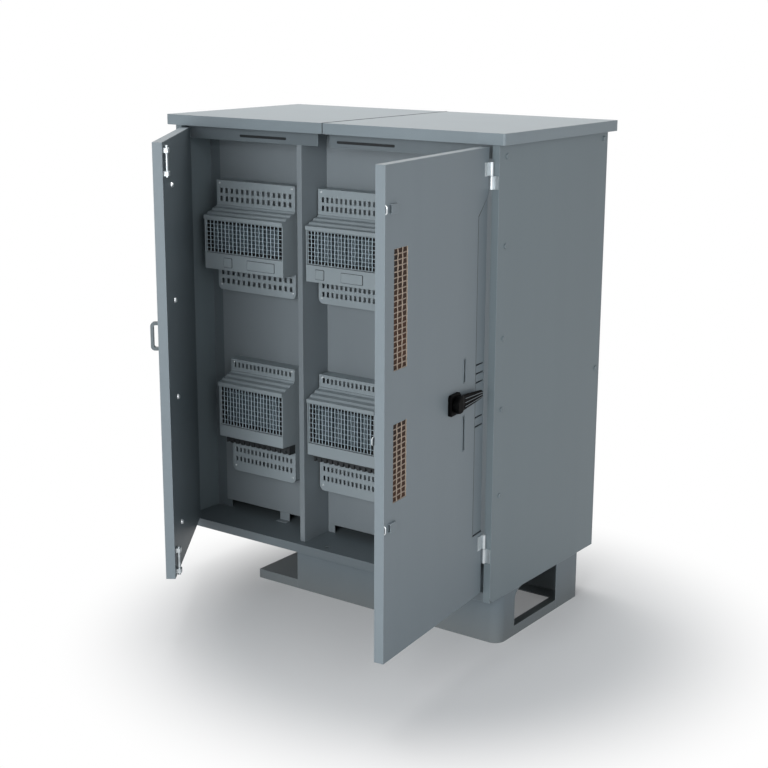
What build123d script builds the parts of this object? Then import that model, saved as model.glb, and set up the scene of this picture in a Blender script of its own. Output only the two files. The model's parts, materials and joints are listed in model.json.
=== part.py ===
from build123d import *
import math
import os

# A roadside cabinet in folded sheet: millimetres, +Z up, doors on the -Y side.
# The origin is on the ground, under the middle of the body.

os.makedirs("parts", exist_ok=True)

# Sheet and body
sheet = 2.0
body_width = 1200.0
body_depth = 630.0
jamb_width = 23.0
jamb_return = 14.0
rear_flange = 22.0
side_corner_radius = 24.0
stiffener_depth = 14.0
stiffener_height = 30.0
stiffener_inset = 60.0

# Plinth
plinth_height = 150.0
plinth_wall = 3.0
plinth_left = -330.0
plinth_step = -168.0
plinth_front_setback = 55.0
plinth_rear_setback = 100.0
plinth_corner_radius = 34.0
plinth_flange = 26.0
plinth_foot = 60.0
plinth_strap = 80.0
sill_height = 30.0
front_pillar_depth = 90.0
rear_pillar_depth = 130.0
pillar_flare = 36.0
anchor_radius = 7.0
anchor_inset = 30.0

# Floor, ceiling and roof
floor_depth = 28.0
floor_return = 40.0
cable_opening = (520.0, 150.0)
ceiling_gap = 4.0
fascia_height = 32.0
roof_side_overhang = 25.0
roof_end_overhang = 16.0
roof_seat = 18.0
roof_corner_radius = 6.0
roof_seam = 1.0
header_drop = 40.0
header_seat = 26.0
header_gap = 2.0
header_end_gap = 4.0

# Doors, drawn closed and then swung to where they rest
door_height = 1296.0
door_depth = 28.0
door_sheet = 1.5
liner_sheet = 1.2
door_floor_gap = 4.0
door_edge_gap = 2.0
door_middle_gap = 4.0
right_door_angle = 96.0
left_door_angle = 55.0
hinge_strip = 60.0
hinge_strip_step = 3.0
hinge_strip_low = 190.0
hinge_strip_bend = 183.0
hinge_strip_high = 130.0

# Door vents, with wire mesh behind their openings
vent_inset = 46.0
vent_width = 72.0
vent_upper = (776.0, 1086.0)
vent_lower = (428.0, 637.0)
vent_overlap = 8.0
vent_columns = 3
vent_upper_rows = 21
vent_lower_rows = 14
vent_wire = 1.5

# Slots of the right door near its hinge, as places from its hinge edge and heights on the door
tall_slot = (124.0, 133.0)
tall_slot_heights = ((468.0, 566.0), (664.0, 728.0))
flat_slot = (5.0, 55.0)
flat_slot_width = 5.0
flat_slot_heights = (695.0, 670.0, 644.0, 543.0, 516.0)

# Clips near the free edge of the right door, as heights on the door
clip_heights = (368.0, 1187.0)
clip_inset = 24.0
clip_width = 30.0
clip_height = 24.0
clip_proud = 6.0

# Hinges
hinge_offset = 6.0
hinge_outset = 4.0
hinge_radius = 6.0
pin_radius = 3.0
pin_clearance = 0.06
knuckle_gap = 1.5
hinge_leaf = 2.5
hinge_leaf_width = 26.0
hinge_leaf_gap = 2.0
hinge_low_place = 93.0
hinge_low_length = 87.0
hinge_high_place = 41.0
hinge_high_length = 75.0

# Swing handle and the bar that it drives
hub_inset = 195.0
hub_height = 616.0
base_size = 60.0
base_proud = 10.0
base_corner = 9.0
base_chamfer = 2.5
lever_length = 150.0
lever_hub_radius = 24.0
lever_tip_radius = 12.0
lever_depth = 17.0
lever_gap = 0.6
lever_grooves = 9
lever_groove_depth = 2.0
lever_plain = 8.0
lever_chamfer = 4.0
lever_socket = 16.0
spindle_radius = 6.0
spindle_clearance = 0.05
spindle_hole_radius = 8.0
cam_depth = 3.5
cam_gap = 2.0
cam_rim = 3.0
cam_angle = 45.0
cam_reach = 21.0
cam_pin_radius = 3.0
cam_pin_tip = 1.5
cam_slot_clearance = 1.0
bar_depth = 3.0
bar_height = 22.0
bar_gap = 2.0
bar_tip_inset = 2.0
bar_tip_radius = 6.0
bar_end = 14.0
guide_clearance = 0.4
guide_length = 20.0
guide_wall = 1.6
guide_foot = 8.0
guide_places = (60.0, 300.0)

# Bolts of the left door
bolt_inset = 28.0
bolt_radius = 5.0
bolt_hole_radius = 7.0
bolt_chamfer = 1.0
bolt_clearance = 0.05
bolt_standoff = 7.5
bolt_length = 90.0
bolt_back = 10.0
bolt_guide_width = 22.0
bolt_guide_height = 13.0
bolt_guide_wall = 3.0
bolt_guide_places = (8.0, 73.0)
bolt_knob_place = 32.0
bolt_knob_radius = 3.5
bolt_knob_length = 14.0

# Pull handle of the left door
pull_inset = 30.0
pull_middle = 738.0
pull_length = 84.0
pull_width = 14.0
pull_reach = 26.0
pull_bar = 9.0
pull_corner = 12.0

# Inside of the body
plate_setback = 155.0
plate_bottom_gap = 27.0
plate_top_gap = 20.0
plate_side_gap = 42.0
plate_left_vent = (-462.0, -280.0)
plate_right_vent = (-102.0, 85.0)
plate_vent_drop = 10.0
plate_vent_height = 14.0
plate_vent_slots = 9
plate_divider_gap = 1.0
upright_width = 62.0
upright_depth = 40.0
divider_left = -136.0
divider_width = 18.0
divider_flange = 26.0
foot_place = -300.0
foot_width = 40.0
foot_depth = 22.0

# Equipment modules, with heights above the floor and sides from the middle of the body
upper_chassis = (770.0, 1127.0)
upper_housing = 848.0
upper_mesh = (900.0, 1008.0)
upper_slot_heights = (1094.0, 1068.0, 828.0, 800.0)
lower_chassis = (158.0, 541.0)
lower_housing = 292.0
lower_mesh = (330.0, 462.0)
lower_slot_heights = (523.0, 232.0, 200.0)
upper_left_sides = (-528.0, -204.0)
upper_right_sides = (-112.0, 155.0)
lower_left_sides = (-482.0, -213.0)
lower_right_sides = (-112.0, 150.0)
module_sheet = 2.0
chassis_depth = 50.0
chassis_corner = 18.0
housing_depth = 62.0
hood_lip = 12.0
hood_proud = 4.0
hood_rise = 28.0
hood_sheet = 3.0
hood_ribs = 3
hood_flat = 0.75
hood_fall = 0.3
guard_frame = 5.0
guard_wire = 1.6
guard_columns = 19
guard_rows = 8
cooler_depth = 44.0
cooler_fins = 15
cooler_root = 6.0
cooler_gap = 6.0
cooler_top = 4.0
slot_count = 14
slot_height = 16.0
slot_margin = 14.0
terminal_depth = 30.0
terminal_count = 12
terminal_slot = (16.0, 8.0)
terminal_margin = 6.0
terminal_height = 30.0

# Screws of the side panels: distances from the front or rear edge, down from the top and up from the bottom
screw_radius = 4.0
screw_head_radius = 8.0
screw_head_height = 3.5
screw_nut_height = 5.0
screw_front_inset = 40.0
screw_rear_inset = 25.0
screw_drops_right = (34.0, 282.0, 545.0, 753.0, 1011.0)
screw_drops_left = (163.0, 513.0, 831.0)
screw_rise_left = 69.0
screw_drops_rear = (22.0, 739.0)

# Places that follow from the sizes above
side = body_width / 2
front = -body_depth / 2
rear = body_depth / 2
body_bottom = plinth_height
floor_top = body_bottom + floor_depth
door_bottom = floor_top + door_floor_gap
door_top = door_bottom + door_height
ceiling = door_top + ceiling_gap
body_top = ceiling + sheet
hinge_edge = side - jamb_width - door_edge_gap
free_edge = door_middle_gap / 2
door_inner = front + door_depth
hinge_x = hinge_edge + hinge_outset
hinge_y = front - hinge_offset
plate_front = front + plate_setback
web_front = plate_front - chassis_depth
hub_x = hinge_edge - hub_inset
hub_z = door_bottom + hub_height
cam_back = door_inner + cam_gap + cam_depth
bar_front = cam_back + bar_gap
cam_pin_x = hub_x + cam_reach * math.sin(math.radians(cam_angle))
cam_pin_drop = cam_reach * math.cos(math.radians(cam_angle))
bar_z = hub_z - (cam_reach + cam_pin_drop) / 2
bolt_x = free_edge + bolt_inset
bolt_y = door_inner + bolt_standoff

front_screw = front + screw_front_inset
rear_screws = [(rear - screw_rear_inset, body_top - drop) for drop in screw_drops_rear]
right_screws = [(front_screw, body_top - drop) for drop in screw_drops_right] + rear_screws
left_screws = [(front_screw, body_top - drop) for drop in screw_drops_left]
left_screws.append((front_screw, body_bottom + screw_rise_left))

nodes = {}


def block(x, y, z):
    """Plain plate or bar between two values on each axis."""
    middle = Pos((x[0] + x[1]) / 2, (y[0] + y[1]) / 2, (z[0] + z[1]) / 2)
    return middle * Box(x[1] - x[0], y[1] - y[0], z[1] - z[0])


def window(across, up):
    """Rectangle between two values on each axis of a sketch."""
    middle = Pos((across[0] + across[1]) / 2, (up[0] + up[1]) / 2)
    return middle * Rectangle(across[1] - across[0], up[1] - up[0])


def panel(x, z, y, openings=()):
    """Flat sheet facing front, from y[0] in front to y[1] behind, with its openings."""
    face = window(x, z)
    if openings:
        face = face - list(openings)
    return extrude(Plane.XZ.offset(-y[1]) * face, y[1] - y[0])


def folded(points, thickness, run):
    """Sheet folded along a line of bends in plan, thickened to the line's left, over a run of heights."""
    wall = make_face(offset(Polyline(*points), thickness, side=Side.LEFT, kind=Kind.INTERSECTION).edges())
    return extrude(Plane.XY.offset(run[0]) * wall, run[1] - run[0])


def folded_across(points, thickness, run):
    """Sheet folded along a line of bends in depth and height, over a run of widths."""
    wall = make_face(offset(Polyline(*points), thickness, side=Side.LEFT, kind=Kind.INTERSECTION).edges())
    return extrude(Plane.YZ.offset(run[0]) * wall, run[1] - run[0])


def tray(x, y, z, wall, open_side):
    """Box of sheet that is open at its back (+1) or its front (-1)."""
    inside = (y[0] + wall, y[1]) if open_side > 0 else (y[0], y[1] - wall)
    return block(x, y, z) - block((x[0] + wall, x[1] - wall), inside, (z[0] + wall, z[1] - wall))


def grid_cells(x, z, columns, rows, wire, frame):
    """Openings between crossing wires, inside a frame."""
    width = (x[1] - x[0] - 2 * frame - (columns - 1) * wire) / columns
    height = (z[1] - z[0] - 2 * frame - (rows - 1) * wire) / rows
    cells = []
    for column in range(columns):
        for row in range(rows):
            left = x[0] + frame + column * (width + wire)
            low = z[0] + frame + row * (height + wire)
            cells.append(window((left, left + width), (low, low + height)))
    return cells


def wire_mesh(x, z, y, columns, rows, wire, frame):
    """Upright wires in front of level wires, each row in its own flat frame."""
    upright = panel(x, z, (y, y + wire), grid_cells(x, z, columns, 1, wire, frame))
    level = panel(x, z, (y + wire, y + 2 * wire), grid_cells(x, z, 1, rows, wire, frame))
    return [upright, level]


def slot_row(x, z, count, height, margin):
    """Row of upright slots across a panel, with lands as wide as the slots."""
    pitch = (x[1] - x[0] - 2 * margin) / (2 * count - 1)
    places = [x[0] + margin + pitch * (2 * number + 0.5) for number in range(count)]
    return [window((place - pitch / 2, place + pitch / 2), (z - height / 2, z + height / 2)) for place in places]


# Plinth: a flat foot ring with low sills and a deck on its left, and a front and a rear beam on it
plinth_front_y = front + plinth_front_setback
plinth_rear_y = rear - plinth_rear_setback
pillar_front_back = plinth_front_y + front_pillar_depth
pillar_rear_front = plinth_rear_y - rear_pillar_depth


def plinth_outline(left, back, inset):
    """Plan of the plinth up to one left end and one back edge, drawn in by an inset."""
    outline = window((left + inset, side - inset), (plinth_front_y + inset, back - inset))
    corner = outline.vertices().sort_by(Axis.X)[-2:].sort_by(Axis.Y)[0]
    return fillet(corner, plinth_corner_radius - inset)


def make_plinth_base():
    foot = plinth_outline(plinth_left, plinth_rear_y, 0)
    for across in ((plinth_left + plinth_foot, -plinth_strap / 2), (plinth_strap / 2, side - plinth_foot)):
        foot -= window(across, (plinth_front_y + plinth_foot, plinth_rear_y - plinth_foot))
    for x in (plinth_left + anchor_inset, side - anchor_inset):
        for y in (plinth_front_y + anchor_inset, plinth_rear_y - anchor_inset):
            foot -= Pos(x, y) * Circle(anchor_radius)
    ring = plinth_outline(plinth_left, plinth_rear_y, 0) - plinth_outline(plinth_left, plinth_rear_y, plinth_wall)
    ring -= window((plinth_step, side + 1), (plinth_front_y - 1, pillar_front_back))
    ring -= window((plinth_left - 1, side + 1), (pillar_rear_front, plinth_rear_y + 1))
    deck = window((plinth_left, plinth_step), (plinth_front_y, pillar_rear_front))
    return extrude(foot, plinth_wall) + extrude(ring, sill_height) + extrude(
        Plane.XY.offset(sill_height - plinth_wall) * deck, plinth_wall
    )


def make_plinth_front():
    back = pillar_front_back + pillar_flare
    outer = plinth_outline(plinth_step, back, 0)
    hollow = plinth_outline(plinth_step, back, plinth_wall)
    hollow += window((plinth_step + plinth_wall, side - plinth_wall), (back - 2 * plinth_wall, back + 1))
    light = plinth_outline(plinth_step, back, plinth_flange)
    light += window((plinth_step + plinth_flange, side - plinth_flange), (back - 2 * plinth_flange, back + 1))
    beam = extrude(Plane.XY.offset(plinth_wall) * outer, plinth_height - plinth_wall)
    beam -= extrude(hollow, plinth_height - sheet)
    beam -= extrude(light, plinth_height + 1)
    arch_top = plinth_height - pillar_flare - sheet
    arch = window((pillar_front_back, back + 1), (0, arch_top))
    arch += Pos(back, arch_top) * Circle(pillar_flare)
    arch = arch & window((pillar_front_back, back + 1), (0, plinth_height))
    return beam - extrude(Plane.YZ.offset(plinth_step - 1) * arch, body_width)


def make_plinth_rear():
    outer = window((plinth_left, side), (pillar_rear_front, plinth_rear_y))
    hollow = window(
        (plinth_left + plinth_wall, side - plinth_wall), (pillar_rear_front - 1, plinth_rear_y - plinth_wall)
    )
    light = window(
        (plinth_left + plinth_flange, side - plinth_flange), (pillar_rear_front - 1, plinth_rear_y - plinth_flange)
    )
    beam = extrude(Plane.XY.offset(plinth_wall) * outer, plinth_height - plinth_wall)
    beam -= extrude(hollow, plinth_height - sheet)
    return beam - extrude(light, plinth_height + 1)


nodes["plinth_base"] = make_plinth_base()
nodes["plinth_front_beam"] = make_plinth_front()
nodes["plinth_rear_beam"] = make_plinth_rear()


# Body: floor, side walls, back, ceiling and the rail that the doors close against
def make_floor_pan():
    x = (-side + sheet, side - sheet)
    y = (front + sheet, rear - 2 * sheet)
    pan = block(x, y, (body_bottom, floor_top))
    pan -= block((x[0] + sheet, x[1] - sheet), (y[0] + sheet, y[1] - sheet), (body_bottom + sheet, floor_top - sheet))
    inner_x = (x[0] + floor_return, x[1] - floor_return)
    inner_y = (y[0] + floor_return, y[1] - floor_return)
    pan -= block(inner_x, inner_y, (body_bottom - 1, body_bottom + sheet))
    opening_back = plinth_rear_y - plinth_flange
    opening = block(
        (-cable_opening[0] / 2, cable_opening[0] / 2),
        (opening_back - cable_opening[1], opening_back),
        (floor_top - sheet - 1, floor_top + 1),
    )
    return pan - opening - Pos(-bolt_x, bolt_y, floor_top) * Cylinder(bolt_hole_radius, 5 * sheet)


def make_side_panel(direction, screws):
    """Side wall with its front jamb and rear flange, and a hole for each screw."""
    inner = side - jamb_width
    line = [
        (inner, front + jamb_return),
        (inner, front),
        (side, front),
        (side, rear),
        (side - rear_flange, rear),
    ]
    wall = folded(line, sheet, (body_bottom, body_top))
    for notch_z in ((body_bottom - 1, floor_top), (ceiling, body_top + 1)):
        wall -= block((inner - 1, inner + sheet), (front + sheet, front + jamb_return + 1), notch_z)
    corner = window((front - 1, front + side_corner_radius), (body_bottom - 1, body_bottom + side_corner_radius))
    corner -= Pos(front + side_corner_radius, body_bottom + side_corner_radius) * Circle(side_corner_radius)
    wall -= extrude(Plane.YZ.offset(side - sheet) * corner, sheet + 1)
    if direction < 0:
        wall = mirror(wall, Plane.YZ)
    for y, z in screws:
        wall -= Pos(direction * side, y, z) * Rot(0, 90, 0) * Cylinder(screw_radius, 6 * sheet)
    return wall


def make_rear_panel():
    x = (-side + sheet, side - sheet)
    y = (rear - 2 * sheet, rear - sheet)
    back = block(x, y, (body_bottom, ceiling))
    line = [(y[0] - stiffener_depth, 0), (y[0] - stiffener_depth, stiffener_height), (y[0], stiffener_height)]
    stiffener = folded_across(line, sheet, (x[0] + stiffener_inset, x[1] - stiffener_inset))
    return back + Pos(0, 0, ceiling / 2) * stiffener


def make_top_panel():
    top = block((-side + sheet, side - sheet), (front + sheet, rear - sheet), (ceiling, body_top))
    return top - Pos(-bolt_x, bolt_y, ceiling) * Cylinder(bolt_hole_radius, 5 * sheet)


def make_header_rail():
    stop = door_inner + header_gap
    line = [(stop + header_seat, ceiling), (stop, ceiling), (stop, ceiling - header_drop)]
    rail = folded_across(line, sheet, (-side + jamb_width + header_end_gap, side - jamb_width - header_end_gap))
    notch_x = (-bolt_x - bolt_guide_width, -bolt_x + bolt_guide_width)
    return rail - block(notch_x, (stop - 1, stop + header_seat - sheet), (ceiling - header_drop - 1, ceiling + 1))


def make_roof_half(direction):
    x = (roof_seam / 2, side + roof_side_overhang)
    y = (front - roof_end_overhang, rear + roof_end_overhang)
    outer = window(x, y)
    outer = fillet(outer.vertices().sort_by(Axis.X)[-2:], roof_corner_radius)
    hollow = window((x[0] + sheet, x[1] - sheet), (y[0] + sheet, y[1] - sheet))
    side_seat = roof_side_overhang + roof_seat
    end_seat = roof_end_overhang + roof_seat
    light = window((x[0] + roof_seat, x[1] - side_seat), (y[0] + end_seat, y[1] - end_seat))
    lid = extrude(Plane.XY.offset(body_top) * outer, fascia_height)
    lid -= extrude(Plane.XY.offset(body_top + sheet) * hollow, fascia_height - 2 * sheet)
    lid -= extrude(Plane.XY.offset(body_top - 1) * light, sheet + 1)
    return lid if direction > 0 else mirror(lid, Plane.YZ)


def make_screws(direction, screws):
    """Hexagon heads outside, shanks through the wall and nuts inside."""
    hexagon = RegularPolygon(screw_head_radius, 6)
    head = extrude(hexagon, screw_head_height)
    shank = Pos(0, 0, -sheet / 2) * Cylinder(screw_radius, sheet)
    nut = extrude(Plane.XY.offset(-sheet - screw_nut_height) * hexagon, screw_nut_height)
    screw = head + shank + nut
    return [Pos(direction * side, y, z) * Rot(0, 90 * direction, 0) * screw for y, z in screws]


nodes["floor_pan"] = make_floor_pan()
nodes["side_panel_right"] = make_side_panel(1, right_screws)
nodes["side_panel_left"] = make_side_panel(-1, left_screws)
nodes["rear_panel"] = make_rear_panel()
nodes["top_panel"] = make_top_panel()
nodes["header_rail"] = make_header_rail()
nodes["roof_right"] = make_roof_half(1)
nodes["roof_left"] = make_roof_half(-1)
nodes["panel_screws"] = make_screws(1, right_screws) + make_screws(-1, left_screws)


# Inside: uprights, the divider between the bays and the plates that carry the equipment
plate_back = plate_front + sheet
divider_front = door_inner + header_gap + sheet
divider_right = divider_left + divider_width
plate_z = (floor_top + plate_bottom_gap, ceiling - plate_top_gap)


def make_upright(direction):
    wall = side - sheet
    line = [(wall - upright_width, plate_back), (wall, plate_back), (wall, plate_back + upright_depth)]
    post = folded(line, sheet, (floor_top, ceiling))
    return post if direction > 0 else mirror(post, Plane.YZ)


def make_divider():
    line = [
        (divider_left - divider_flange, plate_back),
        (divider_left, plate_back),
        (divider_left, divider_front),
        (divider_right, divider_front),
        (divider_right, plate_back),
        (divider_right + divider_flange, plate_back),
    ]
    post = folded(line, sheet, (floor_top, ceiling))
    seat = (door_inner, door_inner + header_gap + header_seat)
    return post - block((divider_left - 1, divider_right + 1), seat, (ceiling - sheet, ceiling + 1))


def make_mounting_plate(x, vent, foot):
    vent_middle = plate_z[1] - plate_vent_drop - plate_vent_height / 2
    row = slot_row(vent, vent_middle, plate_vent_slots, plate_vent_height, 0)
    plate = panel(x, plate_z, (plate_front, plate_back), row)
    if foot is not None:
        tab = [(plate_front - foot_depth, floor_top), (plate_front, floor_top), (plate_front, plate_z[0] + 1)]
        line = offset(Polyline(*tab), sheet, side=Side.LEFT, kind=Kind.INTERSECTION)
        plate += extrude(Plane.YZ.offset(foot - foot_width / 2) * make_face(line.edges()), foot_width)
    return plate


nodes["upright_right"] = make_upright(1)
nodes["upright_left"] = make_upright(-1)
nodes["divider"] = make_divider()
left_plate_x = (-side + sheet + plate_side_gap, divider_left - sheet - plate_divider_gap)
right_plate_x = (divider_right + sheet + plate_divider_gap, side - sheet - plate_side_gap)
nodes["mounting_plate_left"] = make_mounting_plate(left_plate_x, plate_left_vent, foot_place)
nodes["mounting_plate_right"] = make_mounting_plate(right_plate_x, plate_right_vent, None)


# Equipment modules: a folded chassis with rows of slots, and a hooded housing in front of it
def low_rounded(x, z, radius):
    """Rectangle with its two lower corners rounded."""
    outline = window(x, z)
    return fillet(outline.vertices().sort_by(Axis.Y)[:2], radius)


def make_chassis(x, z, rows):
    """Shallow pan with rounded lower corners, fixed by its rim to the mounting plate."""
    wall = module_sheet
    behind = Plane.XZ.offset(-plate_front)
    pan = extrude(behind * low_rounded(x, z, chassis_corner), chassis_depth)
    inside = low_rounded((x[0] + wall, x[1] - wall), (z[0] + wall, z[1] - wall), chassis_corner - wall)
    pan -= extrude(behind * inside, chassis_depth - wall)
    cutters = []
    for height, count, slot in rows:
        cutters += slot_row(x, height, count, slot, slot_margin)
    return pan - extrude(Plane.XZ.offset(-web_front - wall - 1) * (Sketch() + cutters), wall + 2)


def hood_line(lip_top):
    """Ribbed top of a housing, from its front lip back and up to the chassis."""
    run = (housing_depth + hood_proud) / hood_ribs
    rise = hood_rise / hood_ribs
    points = []
    for number in range(hood_ribs):
        y = web_front - housing_depth - hood_proud + number * run
        z = lip_top + number * rise
        points += [(y, z), (y + run * hood_flat, z + rise * hood_fall)]
    return points + [(web_front, lip_top + hood_rise)]


def make_housing(x, bottom, mesh):
    """Folded shell with a sloping ribbed hood, two cheeks and a band under the mesh."""
    face = web_front - housing_depth
    lip_top = mesh[1] + hood_lip
    hood = hood_line(lip_top)
    outline = [(web_front, bottom), (face, bottom), (face, mesh[1]), (face - hood_proud, mesh[1])] + hood
    shell = extrude(Plane.YZ.offset(x[0]) * make_face(Polyline(*outline, close=True)), x[1] - x[0])
    cavity = [
        (web_front + 1, bottom + hood_sheet),
        (face + hood_sheet, bottom + hood_sheet),
        (face + hood_sheet, mesh[0]),
        (face - hood_proud - 1, mesh[0]),
        (face - hood_proud - 1, mesh[1]),
        (face + hood_sheet, mesh[1]),
        (face + hood_sheet, lip_top - hood_sheet),
    ]
    cavity += [(y, z - hood_sheet) for y, z in hood[1:]]
    cavity.append((web_front + 1, lip_top + hood_rise - hood_sheet))
    inner = (x[0] + hood_sheet, x[1] - hood_sheet)
    return shell - extrude(Plane.YZ.offset(inner[0]) * make_face(Polyline(*cavity, close=True)), inner[1] - inner[0])


def make_cooler(x, z):
    """Finned block that stands on the chassis, behind the mesh."""
    pitch = (x[1] - x[0]) / (2 * cooler_fins - 1)
    root = web_front - cooler_root
    tip = web_front - cooler_depth
    points = [(x[0], web_front)]
    for number in range(cooler_fins):
        left = x[0] + 2 * number * pitch
        points += [(left, root), (left, tip), (left + pitch, tip), (left + pitch, root)]
    points = points[:1] + points[2:-1] + [(x[1], web_front)]
    section = make_face(Polyline(*points, close=True))
    return extrude(Plane.XY.offset(z[0]) * section, z[1] - z[0])


def make_module(name, x, chassis_z, rows, housing_bottom, mesh_z):
    chassis_height = (floor_top + chassis_z[0], floor_top + chassis_z[1])
    slot_rows = [(floor_top + height, count, slot) for height, count, slot in rows]
    bottom = floor_top + housing_bottom
    mesh = (floor_top + mesh_z[0], floor_top + mesh_z[1])
    inner = (x[0] + hood_sheet, x[1] - hood_sheet)
    nodes[name + "_chassis"] = make_chassis(x, chassis_height, slot_rows)
    nodes[name + "_housing"] = make_housing(x, bottom, mesh)
    guard_y = web_front - housing_depth + hood_sheet
    nodes[name + "_wire_guard"] = wire_mesh(inner, mesh, guard_y, guard_columns, guard_rows, guard_wire, guard_frame)
    nodes[name + "_cooler"] = make_cooler(
        (inner[0] + cooler_gap, inner[1] - cooler_gap), (mesh[0] - cooler_gap, mesh[1] + cooler_top)
    )


def make_terminal_comb(x, z):
    """Row of blank terminals under the lower housings."""
    face = web_front - terminal_depth
    comb = block(x, (face, web_front), z)
    teeth = slot_row(x, z[0] + terminal_slot[0] / 3, terminal_count, terminal_slot[0], terminal_margin)
    return comb - extrude(Plane.XZ.offset(-face - terminal_slot[1]) * (Sketch() + teeth), terminal_slot[1] + 1)


upper_rows = [(height, slot_count, slot_height) for height in upper_slot_heights]
lower_rows = [(height, slot_count + 1, slot_height) for height in lower_slot_heights]
upper_sizes = (upper_chassis, upper_rows, upper_housing, upper_mesh)
lower_sizes = (lower_chassis, lower_rows, lower_housing, lower_mesh)
modules = {
    "upper_left": (upper_left_sides, upper_sizes),
    "upper_right": (upper_right_sides, upper_sizes),
    "lower_left": (lower_left_sides, lower_sizes),
    "lower_right": (lower_right_sides, lower_sizes),
}
for module_name, (module_x, sizes) in modules.items():
    make_module(module_name, module_x, *sizes)
for module_name in ("lower_left", "lower_right"):
    comb_x = modules[module_name][0]
    comb_top = floor_top + lower_housing
    nodes[module_name + "_terminals"] = make_terminal_comb(comb_x, (comb_top - terminal_height, comb_top))


# Doors: a folded skin, a liner set into its back, and meshes and filters behind the vents
vent_x = (free_edge + vent_inset, free_edge + vent_inset + vent_width)
vents = [
    (door_bottom + vent_upper[0], door_bottom + vent_upper[1], vent_upper_rows),
    (door_bottom + vent_lower[0], door_bottom + vent_lower[1], vent_lower_rows),
]


def swing(shape, direction):
    """Turn a piece of the closed door to where the door rests."""
    if direction > 0:
        return shape.rotate(Axis((hinge_x, hinge_y, 0), (0, 0, 1)), right_door_angle)
    return mirror(shape, Plane.YZ).rotate(Axis((-hinge_x, hinge_y, 0), (0, 0, 1)), -left_door_angle)


def make_skin(direction):
    x = (free_edge, hinge_edge)
    z = (door_bottom, door_top)
    skin = tray(x, (front, door_inner), z, door_sheet, 1)
    strip = Polyline(
        (hinge_edge, door_bottom + hinge_strip_low),
        (hinge_edge, door_top - hinge_strip_high),
        (hinge_edge - hinge_strip, door_top - hinge_strip_bend),
        (hinge_edge - hinge_strip, door_bottom + hinge_strip_low),
        close=True,
    )
    back = front + door_sheet + hinge_strip_step
    skin += extrude(Plane.XZ.offset(-back) * make_face(strip), hinge_strip_step + door_sheet)
    skin -= extrude(Plane.XZ.offset(-front - hinge_strip_step) * make_face(strip), hinge_strip_step + 1)
    openings = [window(vent_x, (low, high)) for low, high, rows in vents]
    if direction > 0:
        openings.append(Pos(hub_x, hub_z) * Circle(spindle_hole_radius))
        across = (hinge_edge - tall_slot[1], hinge_edge - tall_slot[0])
        for low, high in tall_slot_heights:
            openings.append(window(across, (door_bottom + low, door_bottom + high)))
        across = (hinge_edge - flat_slot[1], hinge_edge - flat_slot[0])
        for height in flat_slot_heights:
            middle = door_bottom + height
            openings.append(window(across, (middle - flat_slot_width / 2, middle + flat_slot_width / 2)))
    return skin - extrude(Plane.XZ.offset(-back - 1) * (Sketch() + openings), door_sheet + hinge_strip_step + 2)


def make_liner(direction):
    x = (free_edge + door_sheet, hinge_edge - door_sheet)
    z = (door_bottom + door_sheet, door_top - door_sheet)
    openings = []
    if direction > 0:
        openings.append(Pos(hub_x, hub_z) * Circle(spindle_hole_radius))
    return panel(x, z, (door_inner - liner_sheet, door_inner), openings)


def make_vent_meshes():
    meshes = []
    wide = (vent_x[0] - vent_overlap, vent_x[1] + vent_overlap)
    for low, high, rows in vents:
        tall = (low - vent_overlap, high + vent_overlap)
        meshes += wire_mesh(wide, tall, front + door_sheet, vent_columns, rows, vent_wire, vent_overlap)
    return meshes


def make_vent_filters():
    wide = (vent_x[0] - vent_overlap, vent_x[1] + vent_overlap)
    y = (front + door_sheet + 2 * vent_wire, door_inner - liner_sheet)
    return [block(wide, y, (low - vent_overlap, high + vent_overlap)) for low, high, rows in vents]


def hinge_splits():
    """Height of each hinge's lower end, middle and upper end."""
    low = door_bottom + hinge_low_place
    high = door_top - hinge_high_place
    yield low, low + hinge_low_length / 2, low + hinge_low_length
    yield high - hinge_high_length, high - hinge_high_length / 2, high


def make_knuckle(low, high, leaf_x, bore):
    """Rolled knuckle with its flat leaf."""
    barrel = Pos(hinge_x, hinge_y, (low + high) / 2) * Cylinder(hinge_radius, high - low)
    leaf = block(leaf_x, (front - hinge_leaf, front), (low, high))
    return barrel + leaf - Pos(hinge_x, hinge_y, (low + high) / 2) * Cylinder(bore, high - low + 2)


def make_door_knuckles():
    leaf = (hinge_edge - hinge_leaf_width, hinge_x - pin_radius)
    bore = pin_radius + pin_clearance
    return [make_knuckle(middle + knuckle_gap / 2, high, leaf, bore) for low, middle, high in hinge_splits()]


def make_frame_knuckles():
    leaf = (hinge_x + pin_radius, side - hinge_leaf_gap)
    return [make_knuckle(low, middle - knuckle_gap / 2, leaf, pin_radius) for low, middle, high in hinge_splits()]


def make_hinge_pins():
    pins = []
    for low, middle, high in hinge_splits():
        pins.append(Pos(hinge_x, hinge_y, (low + high) / 2) * Cylinder(pin_radius, high - low - 2))
    return pins


def make_edge_clips():
    """Small folded clips that steady the free edge of the door."""
    clips = []
    for height in clip_heights:
        z = (door_bottom + height - clip_height / 2, door_bottom + height + clip_height / 2)
        line = [(front, z[0]), (front - clip_proud, z[0]), (front - clip_proud, z[1]), (front, z[1])]
        wall = make_face(offset(Polyline(*line), sheet, side=Side.RIGHT, kind=Kind.INTERSECTION).edges())
        clips.append(extrude(Plane.YZ.offset(free_edge + clip_inset) * wall, clip_width))
    return clips


# Swing handle: base, lever, spindle with its cam, and the sliding bar with its guides
def make_handle_base():
    plate = Pos(hub_x, hub_z) * RectangleRounded(base_size, base_size, base_corner)
    bore = Pos(hub_x, hub_z) * Circle(spindle_radius + spindle_clearance)
    solid = extrude(Plane.XZ.offset(-front) * plate, base_proud)
    solid = chamfer(solid.faces().sort_by(Axis.Y)[0].edges(), base_chamfer)
    return solid - extrude(Plane.XZ.offset(-front) * bore, base_proud)


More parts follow.
